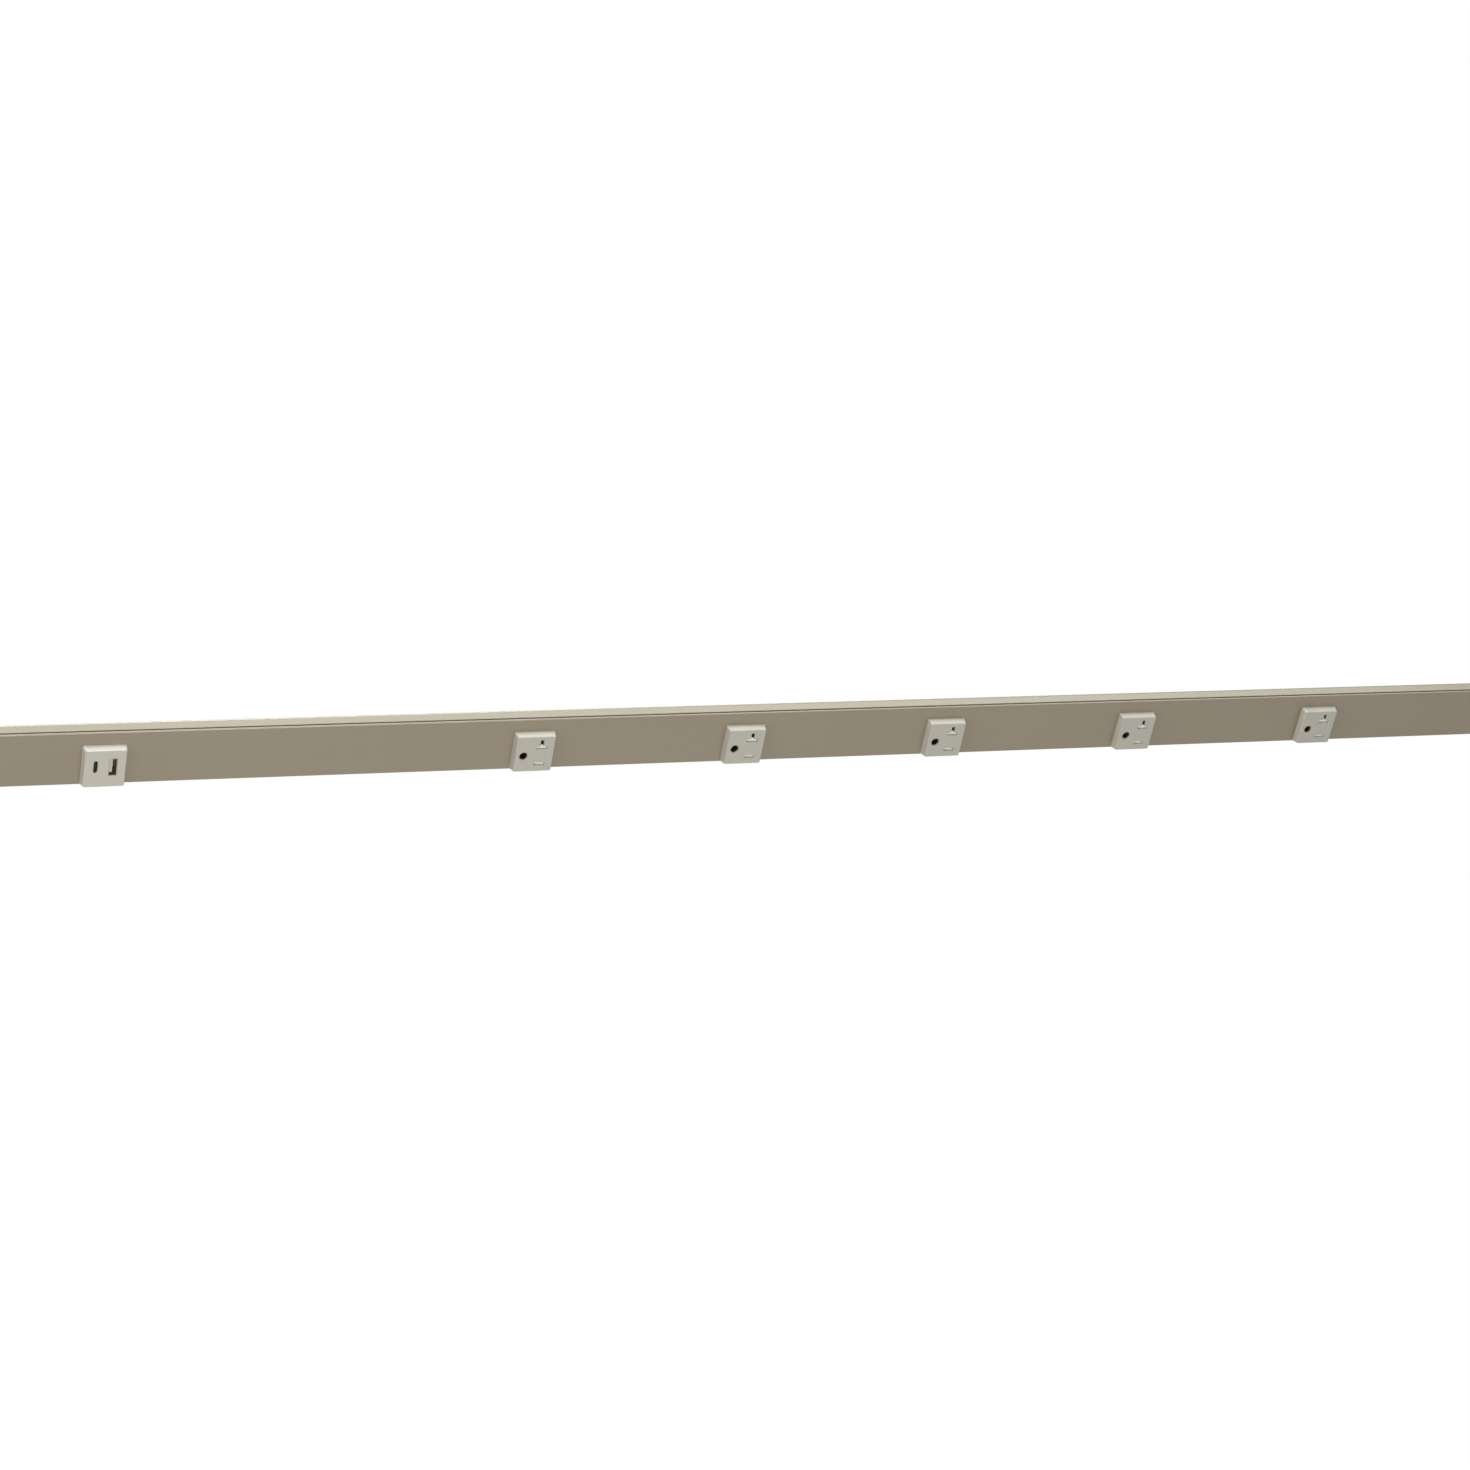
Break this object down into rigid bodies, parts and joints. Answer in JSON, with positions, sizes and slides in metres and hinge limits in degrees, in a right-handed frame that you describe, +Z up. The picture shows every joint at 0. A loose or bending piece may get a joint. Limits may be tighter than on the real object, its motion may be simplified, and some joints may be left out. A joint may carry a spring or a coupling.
{
  "type": "under cabinet power strip",
  "caption": "Long angled metal raceway for the underside of a cabinet, with grounded, shuttered receptacles and a USB-A and USB-C charging module in its sloping face.",
  "frame": {"origin": "centre of the flat top, the face that lies against the cabinet", "axes": "+X along the strip with the USB module towards -X, +Y towards the wall, +Z up; the sloping face looks along -Y and down"},
  "size_m": [1.2192, 0.0424, 0.0366],
  "materials": {
    "housing_metal": "satin nickel",
    "end_cap_plastic": "fine grained",
    "face_plastic": "fine satin",
    "shutter_plastic": "smooth",
    "body_plastic": "moulded",
    "contact_brass": "stamped",
    "wire_copper": "drawn copper",
    "screw_steel": "zinc plated",
    "shell_steel": "nickel plated",
    "tongue_white": "smooth",
    "tongue_black": "smooth",
    "board_laminate": "laminate",
    "bushing_plastic": "smooth"
  },
  "bodies": {
    "strip": {"housing": "housing_metal", "front_cover": "housing_metal", "left_end_cap": "end_cap_plastic", "right_end_cap": "end_cap_plastic", "end_cap_screws": "screw_steel", "supply_bushing": "bushing_plastic", "ground_screw": "screw_steel", "ground_lug": "contact_brass", "hot_wire": "wire_copper", "neutral_wire": "wire_copper", "ground_wire": "wire_copper", "usb_face": "face_plastic", "usb_body": "body_plastic", "usb_circuit_board": "board_laminate", "usb_a_shell": "shell_steel", "usb_a_tongue": "tongue_white", "usb_c_shell": "shell_steel", "usb_c_tongue": "tongue_black", "usb_hot_tab": "contact_brass", "usb_neutral_tab": "contact_brass", "receptacle_1_face": "face_plastic", "receptacle_1_body": "body_plastic", "receptacle_1_hot_contact": "contact_brass", "receptacle_1_neutral_contact": "contact_brass", "receptacle_1_ground_contact": "contact_brass", "receptacle_2_face": "face_plastic", "receptacle_2_body": "body_plastic", "receptacle_2_hot_contact": "contact_brass", "receptacle_2_neutral_contact": "contact_brass", "receptacle_2_ground_contact": "contact_brass", "receptacle_3_face": "face_plastic", "receptacle_3_body": "body_plastic", "receptacle_3_hot_contact": "contact_brass", "receptacle_3_neutral_contact": "contact_brass", "receptacle_3_ground_contact": "contact_brass", "receptacle_4_face": "face_plastic", "receptacle_4_body": "body_plastic", "receptacle_4_hot_contact": "contact_brass", "receptacle_4_neutral_contact": "contact_brass", "receptacle_4_ground_contact": "contact_brass", "receptacle_5_face": "face_plastic", "receptacle_5_body": "body_plastic", "receptacle_5_hot_contact": "contact_brass", "receptacle_5_neutral_contact": "contact_brass", "receptacle_5_ground_contact": "contact_brass"},
    "shutter_1": {"receptacle_1_shutter": "shutter_plastic"},
    "shutter_2": {"receptacle_2_shutter": "shutter_plastic"},
    "shutter_3": {"receptacle_3_shutter": "shutter_plastic"},
    "shutter_4": {"receptacle_4_shutter": "shutter_plastic"},
    "shutter_5": {"receptacle_5_shutter": "shutter_plastic"}
  },
  "joints": [
    {"name": "shutter_1_slide", "type": "slide", "parent": "strip", "child": "shutter_1", "axis": [0, 0.7071, -0.7071], "range_m": [0, 0.0026], "stiffness_N_per_m": 100},
    {"name": "shutter_2_slide", "type": "slide", "parent": "strip", "child": "shutter_2", "axis": [0, 0.7071, -0.7071], "range_m": [0, 0.0026], "stiffness_N_per_m": 100},
    {"name": "shutter_3_slide", "type": "slide", "parent": "strip", "child": "shutter_3", "axis": [0, 0.7071, -0.7071], "range_m": [0, 0.0026], "stiffness_N_per_m": 100},
    {"name": "shutter_4_slide", "type": "slide", "parent": "strip", "child": "shutter_4", "axis": [0, 0.7071, -0.7071], "range_m": [0, 0.0026], "stiffness_N_per_m": 100},
    {"name": "shutter_5_slide", "type": "slide", "parent": "strip", "child": "shutter_5", "axis": [0, 0.7071, -0.7071], "range_m": [0, 0.0026], "stiffness_N_per_m": 100}
  ]
}
